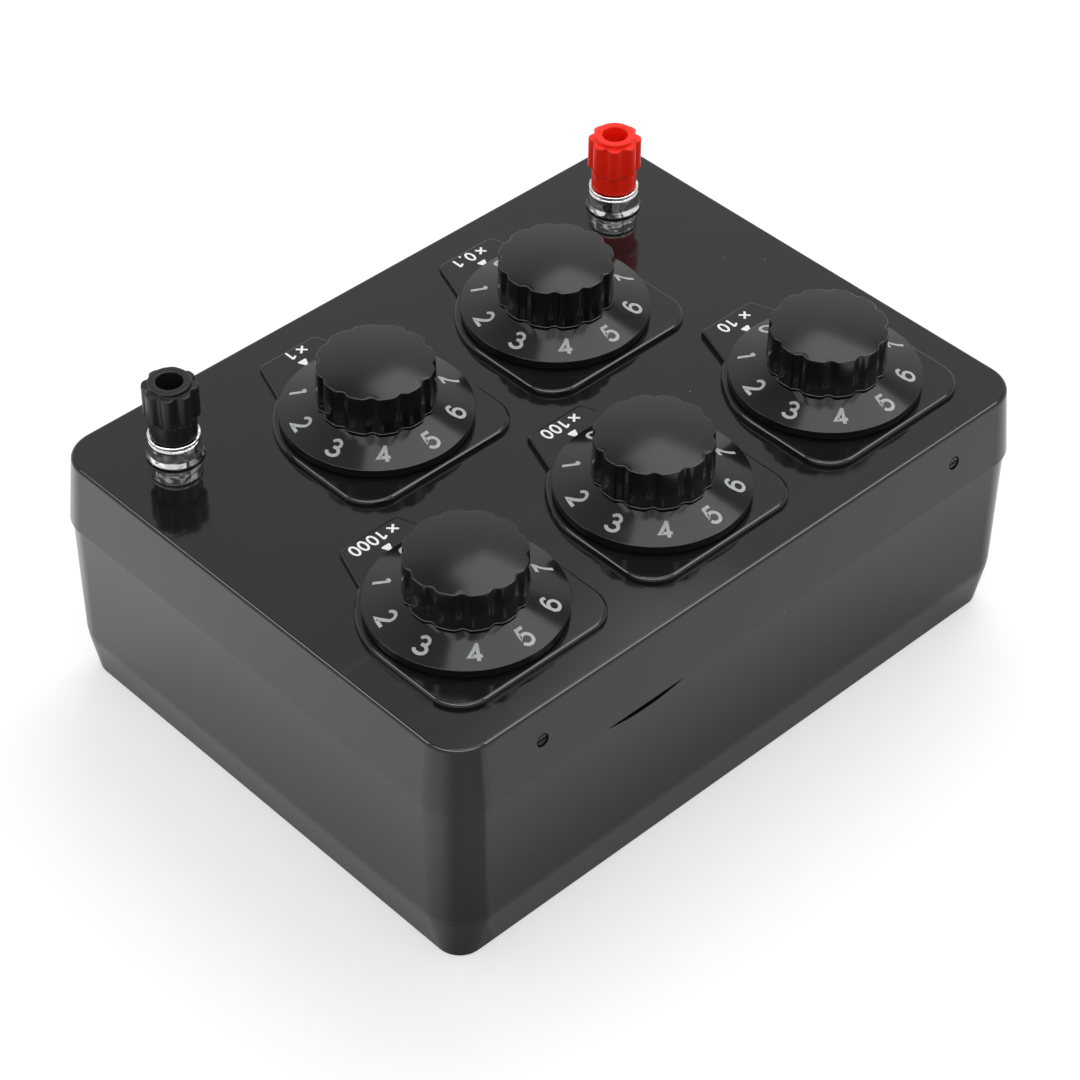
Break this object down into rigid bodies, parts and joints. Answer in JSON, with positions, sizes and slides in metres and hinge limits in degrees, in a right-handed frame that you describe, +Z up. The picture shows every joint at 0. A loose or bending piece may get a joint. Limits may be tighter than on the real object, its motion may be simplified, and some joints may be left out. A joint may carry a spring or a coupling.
{
  "type": "decade resistance box",
  "caption": "Black two-part bench case with numbered dials under fluted knobs and a red and a black binding post; each dial switches one decade of resistance.",
  "frame": {"origin": "middle of the flat base, on the surface it stands on", "axes": "+Z up out of the panel, -Y towards the operator and the binding posts, +X towards the operator's right"},
  "size_m": [0.1938, 0.1472, 0.0924],
  "materials": {
    "case_plastic": "smooth glossy black",
    "knob_plastic": "polished black",
    "dial_plastic": "satin black",
    "red_plastic": "satin red",
    "black_plastic": "satin black",
    "chromed_brass": "polished chrome",
    "bare_brass": "machined",
    "zinced_steel": "zinc plated",
    "spring_steel": "polished strip",
    "board_laminate": "brown paper laminate",
    "resistor_lacquer": "lacquered",
    "red_sleeve": "red insulation",
    "black_sleeve": "black insulation",
    "yellow_sleeve": "yellow insulation",
    "label_paint": "printed white",
    "dial_paint": "printed light grey"
  },
  "bodies": {
    "case": {"top_cover": "case_plastic", "bottom_case": "case_plastic", "cover_screw_front_left": "zinced_steel", "cover_screw_front_right": "zinced_steel", "cover_screw_rear_left": "zinced_steel", "cover_screw_rear_right": "zinced_steel", "x0_1_bush": "bare_brass", "x0_1_contact_board": "board_laminate", "x0_1_resistor_chain": "resistor_lacquer", "x0_1_detent_spring": "spring_steel", "x1_bush": "bare_brass", "x1_contact_board": "board_laminate", "x1_resistor_chain": "resistor_lacquer", "x1_detent_spring": "spring_steel", "x10_bush": "bare_brass", "x10_contact_board": "board_laminate", "x10_resistor_chain": "resistor_lacquer", "x10_detent_spring": "spring_steel", "x100_bush": "bare_brass", "x100_contact_board": "board_laminate", "x100_resistor_chain": "resistor_lacquer", "x100_detent_spring": "spring_steel", "x1000_bush": "bare_brass", "x1000_contact_board": "board_laminate", "x1000_resistor_chain": "resistor_lacquer", "x1000_detent_spring": "spring_steel", "red_stud": "chromed_brass", "red_nut": "bare_brass", "red_lead": "red_sleeve", "black_stud": "chromed_brass", "black_nut": "bare_brass", "black_lead": "black_sleeve", "lead_x0_1_to_x10": "yellow_sleeve", "lead_x10_to_x100": "yellow_sleeve", "lead_x100_to_x1000": "yellow_sleeve", "lead_x1000_to_x1": "yellow_sleeve"},
    "x0_1_selector": {"x0_1_knob": "knob_plastic", "x0_1_dial": "dial_plastic", "x0_1_shaft": "zinced_steel", "x0_1_wiper": "bare_brass"},
    "x1_selector": {"x1_knob": "knob_plastic", "x1_dial": "dial_plastic", "x1_shaft": "zinced_steel", "x1_wiper": "bare_brass"},
    "x10_selector": {"x10_knob": "knob_plastic", "x10_dial": "dial_plastic", "x10_shaft": "zinced_steel", "x10_wiper": "bare_brass"},
    "x100_selector": {"x100_knob": "knob_plastic", "x100_dial": "dial_plastic", "x100_shaft": "zinced_steel", "x100_wiper": "bare_brass"},
    "x1000_selector": {"x1000_knob": "knob_plastic", "x1000_dial": "dial_plastic", "x1000_shaft": "zinced_steel", "x1000_wiper": "bare_brass"},
    "red_washer": {"red_clamp_washer": "chromed_brass"},
    "red_screw_cap": {"red_cap": "red_plastic"},
    "black_washer": {"black_clamp_washer": "chromed_brass"},
    "black_screw_cap": {"black_cap": "black_plastic"}
  },
  "joints": [
    {"name": "x0_1_dial_turn", "type": "hinge", "parent": "case", "child": "x0_1_selector", "pos_m": [-0.03, -0.0276, 0.0745], "axis": [0, 0, 1], "continuous": true},
    {"name": "x1_dial_turn", "type": "hinge", "parent": "case", "child": "x1_selector", "pos_m": [0.03, -0.0276, 0.0745], "axis": [0, 0, 1], "continuous": true},
    {"name": "x10_dial_turn", "type": "hinge", "parent": "case", "child": "x10_selector", "pos_m": [-0.06, 0.0372, 0.0745], "axis": [0, 0, 1], "continuous": true},
    {"name": "x100_dial_turn", "type": "hinge", "parent": "case", "child": "x100_selector", "pos_m": [0, 0.0372, 0.0745], "axis": [0, 0, 1], "continuous": true},
    {"name": "x1000_dial_turn", "type": "hinge", "parent": "case", "child": "x1000_selector", "pos_m": [0.06, 0.0372, 0.0745], "axis": [0, 0, 1], "continuous": true},
    {"name": "red_cap_lift", "type": "slide", "parent": "case", "child": "red_washer", "axis": [0, 0, 1], "range_m": [0, 0.004]},
    {"name": "red_cap_turn", "type": "hinge", "parent": "red_washer", "child": "red_screw_cap", "pos_m": [-0.0738, -0.0514, 0.0846], "axis": [0, 0, 1], "range_deg": [0, 1800]},
    {"name": "black_cap_lift", "type": "slide", "parent": "case", "child": "black_washer", "axis": [0, 0, 1], "range_m": [0, 0.004]},
    {"name": "black_cap_turn", "type": "hinge", "parent": "black_washer", "child": "black_screw_cap", "pos_m": [0.0738, -0.0514, 0.0846], "axis": [0, 0, 1], "range_deg": [0, 1800]}
  ],
  "couplings": [
    {"joint": "red_cap_turn", "follows": "red_cap_lift", "rad_per_m": 7853.9},
    {"joint": "black_cap_turn", "follows": "black_cap_lift", "rad_per_m": 7853.9}
  ]
}
